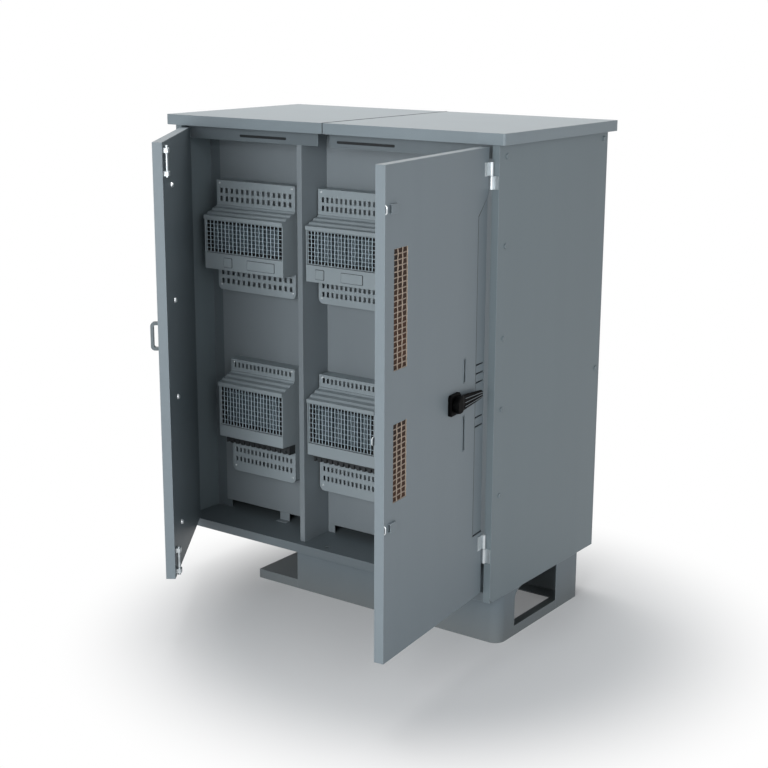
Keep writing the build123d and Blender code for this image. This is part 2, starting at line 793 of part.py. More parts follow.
def make_lever():
    """Grip that tapers from its hub towards the hinge side, with cross ribs."""
    outline = make_hull(
        (Circle(lever_hub_radius) + Pos(lever_length - lever_tip_radius, 0) * Circle(lever_tip_radius)).edges()
    )
    back = front - base_proud - lever_gap
    grip = extrude(Plane((hub_x, back, hub_z), x_dir=(1, 0, 0), z_dir=(0, -1, 0)) * outline, lever_depth)
    grip = chamfer(grip.faces().sort_by(Axis.Y)[0].edges(), lever_chamfer)
    ribbed = (hub_x + lever_hub_radius + lever_plain, hub_x + lever_length - 2 * lever_plain)
    pitch = (ribbed[1] - ribbed[0]) / lever_grooves
    cut_y = (back - lever_depth - 1, back - lever_depth + lever_groove_depth)
    for number in range(lever_grooves):
        place = ribbed[0] + number * pitch
        grip -= block((place, place + pitch / 2), cut_y, (hub_z - lever_hub_radius, hub_z + lever_hub_radius))
    return grip - Pos(hub_x, back, hub_z) * Rot(90, 0, 0) * Cylinder(spindle_radius, lever_socket)


def make_spindle():
    """Spindle with the cam at its inner end and the cam's driving pin."""
    tip = front - base_proud - lever_gap - lever_socket / 2
    length = cam_back - tip
    turn = Rot(90, 0, 0)
    spindle = Pos(hub_x, (tip + cam_back) / 2, hub_z) * turn * Cylinder(spindle_radius, length)
    eye = Pos(0, cam_reach) * Circle(cam_pin_radius + cam_rim)
    cam_profile = make_hull((Circle(spindle_radius + cam_rim) + eye).edges())
    cam_plane = Plane((hub_x, cam_back, hub_z), x_dir=(1, 0, 0), z_dir=(0, -1, 0))
    cam = extrude(cam_plane * (Rot(0, 0, cam_angle - 180) * cam_profile), cam_depth)
    pin_length = bar_gap + bar_depth + cam_pin_tip
    pin_place = Pos(cam_pin_x, cam_back + pin_length / 2, hub_z - cam_pin_drop)
    pin = pin_place * turn * Cylinder(cam_pin_radius, pin_length)
    return spindle + cam + pin


def make_drive_bar():
    slot_half = cam_pin_radius + cam_slot_clearance
    z = (bar_z - bar_height / 2, bar_z + bar_height / 2)
    slot_z = (cam_reach - cam_pin_drop) / 2 + slot_half
    slot = window((cam_pin_x - slot_half, cam_pin_x + slot_half), (bar_z - slot_z, bar_z + slot_z))
    x = (free_edge + bar_tip_inset, cam_pin_x + bar_end)
    bar = panel(x, z, (bar_front, bar_front + bar_depth), [slot])
    tip = bar.edges().filter_by(Axis.Y).sort_by(Axis.X)[:2]
    return fillet(tip, bar_tip_radius)


def make_bar_guides():
    """Hat-shaped straps that hold the bar to the liner."""
    guides = []
    half = bar_height / 2 + guide_clearance
    back = bar_front + bar_depth + guide_clearance
    line = [
        (door_inner, bar_z - half - guide_wall - guide_foot),
        (door_inner, bar_z - half),
        (back, bar_z - half),
        (back, bar_z + half),
        (door_inner, bar_z + half),
        (door_inner, bar_z + half + guide_wall + guide_foot),
    ]
    strap = make_face(offset(Polyline(*line), guide_wall, side=Side.RIGHT, kind=Kind.INTERSECTION).edges())
    for place in guide_places:
        guides.append(extrude(Plane.YZ.offset(free_edge + place - guide_length / 2) * strap, guide_length))
    return guides


# Left door furniture, drawn on the right and mirrored when the door is swung
def make_bolt(direction):
    """Round bolt with a side knob; +1 goes up and -1 goes down."""
    tip = door_top - bolt_back if direction > 0 else door_bottom + door_floor_gap
    rod = Pos(bolt_x, bolt_y, tip - direction * bolt_length / 2) * Cylinder(bolt_radius, bolt_length)
    knob_z = tip - direction * (bolt_length - bolt_knob_place)
    knob = Rot(0, 90, 0) * Cylinder(bolt_knob_radius, bolt_knob_length)
    knob = Pos(bolt_x + bolt_knob_length / 2, bolt_y, knob_z) * knob
    tip_edge = rod.edges().group_by(Axis.Z)[-1 if direction > 0 else 0]
    return chamfer(tip_edge, bolt_chamfer) + knob


def make_bolt_guides():
    guides = []
    x = (bolt_x - bolt_guide_width / 2, bolt_x + bolt_guide_width / 2)
    y = (door_inner, bolt_y + bolt_radius + bolt_guide_wall)
    for tip, direction in ((door_top - bolt_back, -1), (door_bottom + door_floor_gap, 1)):
        for distance in bolt_guide_places:
            start = tip + direction * distance
            z = sorted((start, start + direction * bolt_guide_height))
            guide = block(x, y, z)
            guide = chamfer(guide.edges().filter_by(Axis.Z).sort_by(Axis.Y)[-2:], bolt_guide_wall)
            bore = Cylinder(bolt_radius + bolt_clearance, 2 * bolt_guide_height)
            guides.append(guide - Pos(bolt_x, bolt_y, start) * bore)
    return guides


def make_pull_handle():
    low = door_bottom + pull_middle - pull_length / 2
    high = low + pull_length
    outline = window((front - pull_reach, front), (low, high))
    outline = fillet(outline.vertices().sort_by(Axis.X)[:2], pull_corner)
    inner = window((front - pull_reach + pull_bar, front + 1), (low + pull_bar, high - pull_bar))
    inner = fillet(inner.vertices().sort_by(Axis.X)[:2], pull_corner / 2)
    return extrude(Plane.YZ.offset(free_edge + pull_inset - pull_width / 2) * (outline - inner), pull_width)


nodes["right_door_skin"] = swing(make_skin(1), 1)
nodes["right_door_liner"] = swing(make_liner(1), 1)
nodes["right_vent_meshes"] = [swing(mesh, 1) for mesh in make_vent_meshes()]
nodes["right_vent_filters"] = [swing(pad, 1) for pad in make_vent_filters()]
nodes["right_door_knuckles"] = [swing(knuckle, 1) for knuckle in make_door_knuckles()]
nodes["right_frame_knuckles"] = make_frame_knuckles()
nodes["right_hinge_pins"] = make_hinge_pins()
nodes["right_edge_clips"] = [swing(clip, 1) for clip in make_edge_clips()]
nodes["handle_base"] = swing(make_handle_base(), 1)
nodes["swing_handle"] = swing(make_lever(), 1)
nodes["lock_spindle"] = swing(make_spindle(), 1)
nodes["drive_bar"] = swing(make_drive_bar(), 1)
nodes["bar_guides"] = [swing(guide, 1) for guide in make_bar_guides()]

nodes["left_door_skin"] = swing(make_skin(-1), -1)
nodes["left_door_liner"] = swing(make_liner(-1), -1)
nodes["left_vent_meshes"] = [swing(mesh, -1) for mesh in make_vent_meshes()]
nodes["left_vent_filters"] = [swing(pad, -1) for pad in make_vent_filters()]
nodes["left_door_knuckles"] = [swing(knuckle, -1) for knuckle in make_door_knuckles()]
nodes["left_frame_knuckles"] = [mirror(knuckle, Plane.YZ) for knuckle in make_frame_knuckles()]
nodes["left_hinge_pins"] = [mirror(pin, Plane.YZ) for pin in make_hinge_pins()]
nodes["left_pull_handle"] = swing(make_pull_handle(), -1)
nodes["top_bolt"] = swing(make_bolt(1), -1)
nodes["bottom_bolt"] = swing(make_bolt(-1), -1)
nodes["bolt_guides"] = [swing(guide, -1) for guide in make_bolt_guides()]

for name, shape in nodes.items():
    if isinstance(shape, list):
        shape = Compound(children=shape)
    export_step(shape, os.path.join("parts", name + ".step"))
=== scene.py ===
import json
import math

import bmesh
import bpy
from mathutils import Matrix, Vector


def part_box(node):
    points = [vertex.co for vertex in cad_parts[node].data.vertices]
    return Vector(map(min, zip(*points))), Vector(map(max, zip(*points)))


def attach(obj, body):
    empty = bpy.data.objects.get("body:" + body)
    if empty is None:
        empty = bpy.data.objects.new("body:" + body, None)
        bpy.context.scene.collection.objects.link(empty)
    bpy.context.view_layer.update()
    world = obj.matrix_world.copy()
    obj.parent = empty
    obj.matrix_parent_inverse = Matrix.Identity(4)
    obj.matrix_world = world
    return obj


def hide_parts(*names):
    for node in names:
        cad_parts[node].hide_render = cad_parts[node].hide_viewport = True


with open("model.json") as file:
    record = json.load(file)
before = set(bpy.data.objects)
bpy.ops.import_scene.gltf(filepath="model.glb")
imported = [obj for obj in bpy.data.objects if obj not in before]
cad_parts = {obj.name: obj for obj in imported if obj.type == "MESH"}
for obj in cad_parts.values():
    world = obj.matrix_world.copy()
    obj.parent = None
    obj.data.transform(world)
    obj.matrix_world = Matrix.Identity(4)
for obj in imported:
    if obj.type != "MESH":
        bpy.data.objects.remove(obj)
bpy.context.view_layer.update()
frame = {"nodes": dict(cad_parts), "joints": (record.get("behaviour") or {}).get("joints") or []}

nodes = frame["nodes"]

# Camera: it stands to the right of the open doors and looks down a little.
# Its place and turn were fitted to the roof, the sides and the doors in the photo.
camera_place = Vector((2.73198, -3.82201, 1.83962))
camera_yaw = 0.6224
camera_pitch = 0.2457
camera_roll = 0.0042
camera_focal_pixels = 1493.84
photo_pixels = 768
sensor_width = 36.0

look = Vector((
    -math.sin(camera_yaw) * math.cos(camera_pitch),
    math.cos(camera_yaw) * math.cos(camera_pitch),
    -math.sin(camera_pitch),
))
level = Vector((math.cos(camera_yaw), math.sin(camera_yaw), 0))
upright = level.cross(look)
camera_right = level * math.cos(camera_roll) + upright * math.sin(camera_roll)
camera_up = upright * math.cos(camera_roll) - level * math.sin(camera_roll)
turn = Matrix((camera_right, camera_up, -look)).transposed().to_4x4()
camera = bpy.data.objects.new("camera", bpy.data.cameras.new("camera"))
bpy.context.scene.collection.objects.link(camera)
camera.matrix_world = Matrix.Translation(camera_place) @ turn
camera.data.sensor_width = sensor_width
camera.data.lens = camera_focal_pixels * sensor_width / photo_pixels
camera.data.clip_end = 200
bpy.context.scene.camera = camera
bpy.context.scene.view_settings.view_transform = "Standard"


# Floor: pale paper that carries the cabinet's soft shadow and fades to white around it.
# What the camera and the glossy finishes see of it turns white with distance.
class Term:
    """A number in a node tree. Python's operators add the tree's Math nodes."""

    def __init__(self, owner, socket):
        self.owner = owner
        self.socket = socket

    def math(self, operation, first, second=0.0):
        return self.owner.node("ShaderNodeMath", {"operation": operation}, {0: first, 1: second})

    def __add__(self, other):
        return self.math("ADD", self, other)

    def __radd__(self, other):
        return self.math("ADD", other, self)

    def __sub__(self, other):
        return self.math("SUBTRACT", self, other)

    def __rsub__(self, other):
        return self.math("SUBTRACT", other, self)

    def __mul__(self, other):
        return self.math("MULTIPLY", self, other)

    def __rmul__(self, other):
        return self.math("MULTIPLY", other, self)

    def __truediv__(self, other):
        return self.math("DIVIDE", self, other)

    def __pow__(self, other):
        return self.math("POWER", self, other)

    def __lt__(self, other):
        return self.math("LESS_THAN", self, other)

    def cosine(self):
        return self.math("COSINE", self)

    def clamped(self):
        return self.math("MINIMUM", self.math("MAXIMUM", self, 0.0), 1.0)


class Nodes:
    """A node tree of a material, the world or a geometry group, with one method for every node."""

    def __init__(self, tree):
        self.tree = tree
        tree.nodes.clear()

    def node(self, kind, settings, sockets, output=0):
        made = self.tree.nodes.new(kind)
        for key, value in settings.items():
            setattr(made, key, value)
        for key, value in sockets.items():
            if isinstance(value, Term):
                self.tree.links.new(value.socket, made.inputs[key])
            else:
                made.inputs[key].default_value = value
        return Term(self, made.outputs[output]) if made.outputs else None

    def other(self, term, output):
        """Another output of the node that a term comes from."""
        return Term(self, term.socket.node.outputs[output])


def linear(red, green, blue):
    """Colour as it is seen, 0 to 255, as the linear values that a shader takes."""
    return tuple((value / 255) ** 2.2 for value in (red, green, blue)) + (1.0,)


def new_material(name):
    material = bpy.data.materials.new(name)
    material.use_nodes = True
    return material, Nodes(material.node_tree)


def link_mesh(name, mesh):
    thing = bpy.data.objects.new(name, mesh)
    bpy.context.scene.collection.objects.link(thing)
    return thing


def seen_directly(shade):
    """1 for what the camera, a glossy finish or glass sees, and 0 for what only lights the object."""
    camera_ray = shade.node("ShaderNodeLightPath", {}, {}, "Is Camera Ray")
    glossy_ray = shade.other(camera_ray, "Is Glossy Ray")
    glass_ray = shade.other(camera_ray, "Is Transmission Ray")
    return (camera_ray + glossy_ray + glass_ray).clamped()


floor_half = 60.0
floor_corners = [(x * floor_half, y * floor_half, 0) for x, y in ((-1, -1), (1, -1), (1, 1), (-1, 1))]
floor_colour = (0.84, 0.845, 0.855, 1)
floor_glow = 0.10
shadow_middle = (0.35, -0.25, 0.0)
floor_fade_start = 0.55
floor_fade_length = 0.60
floor_mesh = bpy.data.meshes.new("floor")
floor_mesh.from_pydata(floor_corners, [], [(0, 1, 2, 3)])
floor = link_mesh("floor", floor_mesh)
floor_paper, shade = new_material("floor_paper")
place = shade.node("ShaderNodeTexCoord", {}, {}, "Object")
reach = shade.node("ShaderNodeVectorMath", {"operation": "DISTANCE"}, {0: place, 1: shadow_middle}, "Value")
fade = ((reach - floor_fade_start) / floor_fade_length).clamped()
fade = fade * fade * (3.0 - 2.0 * fade)
white_share = seen_directly(shade) * (floor_glow + (1 - floor_glow) * fade)
paper = shade.node("ShaderNodeBsdfDiffuse", {}, {"Color": floor_colour})
glow = shade.node("ShaderNodeEmission", {}, {"Color": (1, 1, 1, 1), "Strength": 1.0})
ground = shade.node("ShaderNodeMixShader", {}, {0: white_share, 1: paper, 2: glow})
shade.node("ShaderNodeOutputMaterial", {}, {"Surface": ground})
floor_mesh.materials.append(floor_paper)


# Light: a faint even sky, a wide soft box over the roof, one to the right and one that shines
# between the open doors into the bays. To the camera, metal and glass the sky is plain white.
sky_colour = (0.93, 0.96, 1.0, 1)
sky_strength = 0.19
world = bpy.data.worlds.new("studio")
bpy.context.scene.world = world
world.use_nodes = True
shade = Nodes(world.node_tree)
sky = shade.node("ShaderNodeBackground", {}, {"Color": sky_colour, "Strength": sky_strength})
white = shade.node("ShaderNodeBackground", {}, {"Color": (1, 1, 1, 1), "Strength": 1.0})
backdrop = shade.node("ShaderNodeMixShader", {}, {0: seen_directly(shade), 1: sky, 2: white})
shade.node("ShaderNodeOutputWorld", {}, {"Surface": backdrop})


def add_soft_box(name, place, aim, side, power, colour):
    """Square area lamp at a place, turned to what it lights."""
    lamp = bpy.data.lights.new(name, "AREA")
    lamp.shape = "RECTANGLE"
    lamp.size = side
    lamp.size_y = side
    lamp.energy = power
    lamp.color = colour
    box = bpy.data.objects.new(name, lamp)
    bpy.context.scene.collection.objects.link(box)
    direction = Vector(aim) - Vector(place)
    box.matrix_world = Matrix.Translation(place) @ direction.to_track_quat("-Z", "Y").to_matrix().to_4x4()


add_soft_box(
    "top_box", place=(-0.9, 1.2, 4.6), aim=(0, 0, 0.6), side=3.2, power=118, colour=(1, 0.99, 0.97)
)
add_soft_box(
    "right_box", place=(4.8, -3.2, 2.2), aim=(0.1, -0.3, 0.8), side=3.0, power=82, colour=(0.95, 0.98, 1)
)
add_soft_box(
    "front_box", place=(1.1, -4.9, 1.7), aim=(0, -0.2, 0.8), side=2.4, power=126, colour=(0.97, 0.99, 1)
)


# Body: plinth, walls, ceiling and back are folded zinc-coated sheet with a baked grey powder
# coat, faintly pebbled. Its folds are paler, partly as worn paint and partly as painted highlight.
# The plinth carries the dust of the road.
def noise(shade, place, scale, detail, roughness=0.5):
    pattern = {"Vector": place, "Scale": scale, "Detail": detail, "Roughness": roughness}
    return shade.node("ShaderNodeTexNoise", {}, pattern)


def blend(shade, share, first, second):
    """From the first colour at a share of 0 to the second at 1."""
    return shade.node("ShaderNodeMix", {"data_type": "RGBA"}, {0: share, 6: first, 7: second}, 2)


def dimmed(shade, colour, factor):
    """Colour times a number."""
    return shade.node("ShaderNodeVectorMath", {"operation": "SCALE"}, {0: colour, "Scale": factor})


def painted_sheet(name, colour, sheen=0.42, pebble=0.05, dust_height=0.0):
    """Powder coat with faint clouds and streaks, folds paler as worn paint and painted highlight, and dust
    up to a height.
    """
    worn_and_highlight_colour = linear(172, 182, 186)
    dust_colour = linear(126, 124, 118)
    fold_radius = 0.0016
    material, shade = new_material(name)
    place = shade.node("ShaderNodeTexCoord", {}, {}, "Object")
    cloud = noise(shade, place, 1.7, 5.0, 0.62)
    grain = noise(shade, place, 420.0, 2.0)
    drawn_out = shade.node("ShaderNodeMapping", {}, {"Vector": place, "Scale": (14.0, 14.0, 0.7)})
    streak = noise(shade, drawn_out, 1.0, 4.0)
    tone = 0.90 + 0.12 * cloud + 0.06 * streak + 0.03 * grain
    flat = shade.node("ShaderNodeNewGeometry", {}, {}, "Normal")
    rounded = shade.node("ShaderNodeBevel", {"samples": 4}, {"Radius": fold_radius})
    facing = shade.node("ShaderNodeVectorMath", {"operation": "DOT_PRODUCT"}, {0: flat, 1: rounded}, "Value")
    edge = ((1.0 - facing) * 5.0).clamped()
    # The folds are mixed towards a paler colour: partly worn paint, partly painted highlight.
    base = blend(shade, edge * 0.5, colour, worn_and_highlight_colour)
    if dust_height > 0:
        height = shade.node("ShaderNodeSeparateXYZ", {}, {0: place}, "Z")
        dust = ((dust_height - height) / dust_height).clamped() * (0.3 + 0.9 * cloud).clamped() * 0.45
        base = blend(shade, dust, base, dust_colour)
    relief = {"Strength": pebble, "Distance": 0.0004, "Height": grain, "Normal": rounded}
    body = shade.node("ShaderNodeBsdfPrincipled", {}, {
        "Base Color": dimmed(shade, base, tone),
        "Roughness": sheen + 0.10 * cloud - 0.06 * edge,
        "Normal": shade.node("ShaderNodeBump", {}, relief),
        "Specular IOR Level": 0.4,
    })
    shade.node("ShaderNodeOutputMaterial", {}, {"Surface": body})
    return material


def dress(names, material):
    """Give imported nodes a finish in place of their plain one."""
    for name in names:
        mesh = nodes[name].data
        mesh.materials.clear()
        mesh.materials.append(material)


side_paint = painted_sheet("side_paint", linear(116, 127, 132))
inner_paint = painted_sheet("inner_paint", linear(104, 113, 118))
plinth_paint = painted_sheet("plinth_paint", linear(106, 116, 122), dust_height=0.12)
plate_paint = painted_sheet("plate_paint", linear(128, 136, 141))
dress(["plinth_base", "plinth_front_beam", "plinth_rear_beam"], plinth_paint)
dress(["side_panel_left", "side_panel_right", "rear_panel", "top_panel", "panel_screws"], side_paint)
dress(["floor_pan", "header_rail", "upright_left", "upright_right"], inner_paint)
dress(["divider", "mounting_plate_left", "mounting_plate_right"], plate_paint)


# Roof: two folded lids of the same painted sheet, bolted down from inside. The seam between
# them is filled with a bead of dark sealant that runs down both fascias.
def bead(name, points, radius, material):
    """Round bead or wire that follows straight runs from point to point."""
    curve = bpy.data.curves.new(name + "_line", "CURVE")
    curve.dimensions = "3D"
    curve.bevel_depth = radius
    curve.bevel_resolution = 2
    curve.use_fill_caps = True
    line = curve.splines.new("POLY")
    line.points.add(len(points) - 1)
    for point, place in zip(line.points, points):
        point.co = (*place, 1)
    maker = bpy.data.objects.new(name + "_line", curve)
    bpy.context.scene.collection.objects.link(maker)
    view = bpy.context.evaluated_depsgraph_get()
    mesh = bpy.data.meshes.new_from_object(maker.evaluated_get(view), depsgraph=view)
    bpy.data.objects.remove(maker)
    mesh.materials.clear()
    mesh.materials.append(material)
    mesh.shade_smooth()
    return link_mesh(name, mesh)


def plain_coat(name, colour, roughness):
    """Soft or rubbery coat with a little mottling."""
    material, shade = new_material(name)
    place = shade.node("ShaderNodeTexCoord", {}, {}, "Object")
    cloud = noise(shade, place, 45.0, 4.0)
    tinted = dimmed(shade, colour[:3], 0.8 + 0.4 * cloud)
    bump = shade.node("ShaderNodeBump", {}, {"Strength": 0.2, "Distance": 0.0005, "Height": cloud})
    coat = {"Base Color": tinted, "Roughness": roughness, "Normal": bump}
    body = shade.node("ShaderNodeBsdfPrincipled", {}, coat)
    shade.node("ShaderNodeOutputMaterial", {}, {"Surface": body})
    return material


# Painted light: the roof's paint is paler than the walls' paint, for the light falling on it from above.
roof_paint = painted_sheet("roof_paint", linear(130, 141, 147), sheen=0.34)
# The dark sealant of the roof seam is also used for the painted shade along the doors' strips.
sealant_and_shade = plain_coat("sealant_and_shade", linear(44, 50, 54), 0.6)
dress(["roof_left", "roof_right"], roof_paint)
seam_radius = 0.0015
left_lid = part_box("roof_left")
right_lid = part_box("roof_right")
seam_x = (left_lid[1].x + right_lid[0].x) / 2
seam = bead("roof_seam", [
    (seam_x, left_lid[0].y, left_lid[0].z),
    (seam_x, left_lid[0].y, left_lid[1].z),
    (seam_x, left_lid[1].y, left_lid[1].z),
    (seam_x, left_lid[1].y, left_lid[0].z),
], seam_radius, sealant_and_shade)
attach(seam, "cabinet")


# Screws: zinc-plated pan heads with a round socket hold the module pans, and taller bright
# ones the door liners. All the heads on one piece are one mesh, turned to face out of it.
def new_geometry(name, inputs):
    """Geometry group with named inputs, given as name, socket kind and first value."""
    group = bpy.data.node_groups.new(name, "GeometryNodeTree")
    for label, kind, value in inputs:
        socket = group.interface.new_socket(label, in_out="INPUT", socket_type=kind)
        if value is not None:
            socket.default_value = value
    group.interface.new_socket("Geometry", in_out="OUTPUT", socket_type="NodeSocketGeometry")
    build = Nodes(group)
    return build, build.node("NodeGroupInput", {}, {})


def make_geometry(name, build, values, points=()):
    """Plain mesh object that a geometry group makes from its inputs and from a few points."""
    start = bpy.data.meshes.new(name + "_points")
    start.from_pydata(points, [], [])
    maker = link_mesh(name + "_maker", start)
    modifier = maker.modifiers.new("made", "NODES")
    modifier.node_group = build.tree
    for item in build.tree.interface.items_tree:
        if item.item_type == "SOCKET" and item.in_out == "INPUT" and item.name in values:
            modifier[item.identifier] = values[item.name]
    view = bpy.context.evaluated_depsgraph_get()
    mesh = bpy.data.meshes.new_from_object(maker.evaluated_get(view), depsgraph=view)
    mesh.name = name
    bpy.data.objects.remove(maker)
    return link_mesh(name, mesh)


def plated_steel(name, colour, roughness, plated=0.85):
    """Drawn or pressed steel with fine upright scratches under a thin plating."""
    material, shade = new_material(name)
    place = shade.node("ShaderNodeTexCoord", {}, {}, "Object")
    stretched = shade.node("ShaderNodeMapping", {}, {"Vector": place, "Scale": (900.0, 900.0, 60.0)})
    scratch = noise(shade, stretched, 1.0, 3.0)
    cloud = noise(shade, place, 60.0, 4.0)
    rounded = shade.node("ShaderNodeBevel", {"samples": 4}, {"Radius": 0.0006})
    tinted = dimmed(shade, colour[:3], 0.8 + 0.4 * cloud)
    relief = {"Strength": 0.12, "Distance": 0.0003, "Height": scratch, "Normal": rounded}
    bump = shade.node("ShaderNodeBump", {}, relief)
    body = shade.node("ShaderNodeBsdfPrincipled", {}, {
        "Base Color": tinted,
        "Metallic": plated,
        "Roughness": roughness + 0.15 * cloud,
        "Normal": bump,
    })
    shade.node("ShaderNodeOutputMaterial", {}, {"Surface": body})
    return material


screw_build, screw_source = new_geometry("pan_screws", [
    ("Geometry", "NodeSocketGeometry", None),
    ("Radius", "NodeSocketFloat", 0.005),
    ("Rise", "NodeSocketFloat", 0.0022),
    ("Finish", "NodeSocketMaterial", None),
])
screw_rings = 9
screw_sides = 20
screw_socket = 0.4
screw_socket_depth = 0.55
screw_crown = 0.2
screw_weld = 0.00002
grid = {"Size X": 1.0, "Size Y": 1.0, "Vertices X": screw_rings, "Vertices Y": screw_sides + 1}
sheet_of_points = screw_build.node("GeometryNodeMeshGrid", {}, grid)
grid_place = screw_build.node("GeometryNodeInputPosition", {}, {})
out = screw_build.node("ShaderNodeSeparateXYZ", {}, {0: grid_place}, "X") + 0.5
angle = (screw_build.node("ShaderNodeSeparateXYZ", {}, {0: grid_place}, "Y") + 0.5) * (2 * math.pi)
radius = out * screw_build.other(screw_source, "Radius")
crown_fall = screw_crown * out * out
rim_fall = (1 - screw_crown) * out ** 4.0
socket_fall = (out < screw_socket) * screw_socket_depth
height = (1.0 - crown_fall - rim_fall - socket_fall) * screw_build.other(screw_source, "Rise")
turned = screw_build.node("ShaderNodeCombineXYZ", {}, {
    "X": radius * angle.cosine(),
    "Y": radius * angle.math("SINE", angle),
    "Z": height,
})
head = screw_build.node("GeometryNodeSetPosition", {}, {"Geometry": sheet_of_points, "Position": turned})
head = screw_build.node("GeometryNodeMergeByDistance", {}, {"Geometry": head, "Distance": screw_weld})
screw_spots = screw_build.other(screw_source, "Geometry")
heads = screw_build.node("GeometryNodeInstanceOnPoints", {}, {"Points": screw_spots, "Instance": head})
heads = screw_build.node("GeometryNodeRealizeInstances", {}, {"Geometry": heads})
screw_finish = screw_build.other(screw_source, "Finish")
heads = screw_build.node("GeometryNodeSetMaterial", {}, {"Geometry": heads, "Material": screw_finish})
screw_build.node("NodeGroupOutput", {}, {"Geometry": heads})
face_front = Matrix.Rotation(math.pi / 2, 4, "X")
face_back = Matrix.Rotation(-math.pi / 2, 4, "X")
zinc = plated_steel("zinc_steel", linear(196, 202, 205), 0.30)
bright = plated_steel("bright_steel", linear(226, 230, 232), 0.22)


def add_screws(name, body, places, facing, radius, finish, turn=None, dome=0.45):
    """Pan heads at places on a surface that faces the front or the back."""
    flat_places = [facing.inverted() @ Vector(place) for place in places]
    values = {"Radius": radius, "Rise": radius * dome, "Finish": finish}
    made = make_geometry(name, screw_build, values, flat_places)
    made.data.transform((turn or Matrix.Identity(4)) @ facing)
    made.data.shade_smooth()
    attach(made, body)


# Equipment modules: a folded pan with rows of slots carries a ribbed hood and housing of grey
# painted sheet, held by pan heads. Two bare plates on dark gaskets sit on each upper housing.
module_names = ["upper_left", "upper_right", "lower_left", "lower_right"]
module_paint = painted_sheet("module_paint", linear(148, 158, 163), sheen=0.40)
gasket_rubber = plain_coat("gasket_rubber", linear(34, 38, 41), 0.7)
gasket_edge = 0.0022
chassis_screw_inset = Vector((0.012, 0.0, 0.009))
chassis_screw_radius = 0.0042
for module in module_names:
    dress([module + "_chassis", module + "_housing"], module_paint)
    low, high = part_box(module + "_chassis")
    spots = [
        (x, low.y, z)
        for x in (low.x + chassis_screw_inset.x, high.x - chassis_screw_inset.x)
        for z in (low.z + 2 * chassis_screw_inset.z, high.z - chassis_screw_inset.z)
    ]
    add_screws(module + "_screws", "cabinet", spots, face_front, chassis_screw_radius, zinc)


def rounded_outline(width, height, radius, corner_points=5):
    """Points round a rectangle with rounded corners, in X and Z."""
    points = []
    for quarter, (side_x, side_z) in enumerate(((1, 1), (-1, 1), (-1, -1), (1, -1))):
        for number in range(corner_points):
            angle = math.radians(90 * quarter + 90 * number / (corner_points - 1))
            x = side_x * (width / 2 - radius) + radius * math.cos(angle)
            z = side_z * (height / 2 - radius) + radius * math.sin(angle)
            points.append((x, z))
    return points


def bare_plate(name, middle, width, height, material, radius=0.003, thickness=0.0014):
    """Thin plate with a raised rim, its back at the middle point's depth."""
    rim = 0.0022
    dish = 0.0007
    least_radius = 0.0004
    rings = []
    for shrink, depth in ((0, 0), (0, thickness), (rim, thickness), (rim + dish, thickness - dish)):
        corner = max(radius - shrink, least_radius)
        outline = rounded_outline(width - 2 * shrink, height - 2 * shrink, corner)
        rings.append([(middle.x + x, middle.y - depth, middle.z + z) for x, z in outline])
    count = len(rings[0])
    faces = [tuple(range(count))]
    for ring in range(len(rings) - 1):
        for number in range(count):
            after = (number + 1) % count
            first = ring * count
            faces.append((first + after, first + number, first + count + number, first + count + after))
    last = (len(rings) - 1) * count
    faces.append(tuple(last + number for number in reversed(range(count))))
    mesh = bpy.data.meshes.new(name)
    mesh.from_pydata([place for ring in rings for place in ring], [], faces)
    mesh.materials.append(material)
    return link_mesh(name, mesh)


# Each plate is given by its middle and its width, as shares of its housing's width.
plate_places = {
    "upper_left": ((0.30, 0.10), (0.72, 0.34)),
    "upper_right": ((0.20, 0.12), (0.66, 0.30)),
}
plate_rise = 0.48
plate_height = 0.56
plate_proud = 0.0008
hood_lip = 0.004
for module, plates in plate_places.items():
    low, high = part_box(module + "_housing")
    guard_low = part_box(module + "_wire_guard")[0]
    reach = high.x - low.x
    face_y = low.y + hood_lip
    band_height = guard_low.z - low.z
    for number, (share, width_share) in enumerate(plates):
        middle = Vector((low.x + reach * share, face_y, low.z + band_height * plate_rise))
        name = f"{module}_plate_{number + 1}"
        plate_size = (reach * width_share, band_height * plate_height)
        gasket_size = [side + gasket_edge for side in plate_size]
        gasket = bare_plate(name + "_gasket", middle, *gasket_size, gasket_rubber)
        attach(gasket, "cabinet")
        plate = bare_plate(name, middle + Vector((0, -plate_proud, 0)), *plate_size, module_paint)
        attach(plate, "cabinet")


# Header trims: a slim black rubber strip with round ends is stuck to the header rail over each
# bay. It is thinner than the gap that the liners of the closed doors leave there.
trim_spans = {"left": (-0.267, 0.185), "right": (0.124, 0.210)}
trim_height = 0.008
trim_rise = 0.40
trim_corner = 0.0038
trim_thickness = 0.0011
rail_low, rail_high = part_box("header_rail")
trim_z = rail_low.z + trim_rise * (rail_high.z - rail_low.z)
for side, (trim_middle, trim_length) in trim_spans.items():
    middle = Vector((trim_middle, rail_low.y, trim_z))
    trim_size = (trim_length, trim_height)
    trim = bare_plate(side + "_header_trim", middle, *trim_size, gasket_rubber, trim_corner, trim_thickness)
    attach(trim, "cabinet")


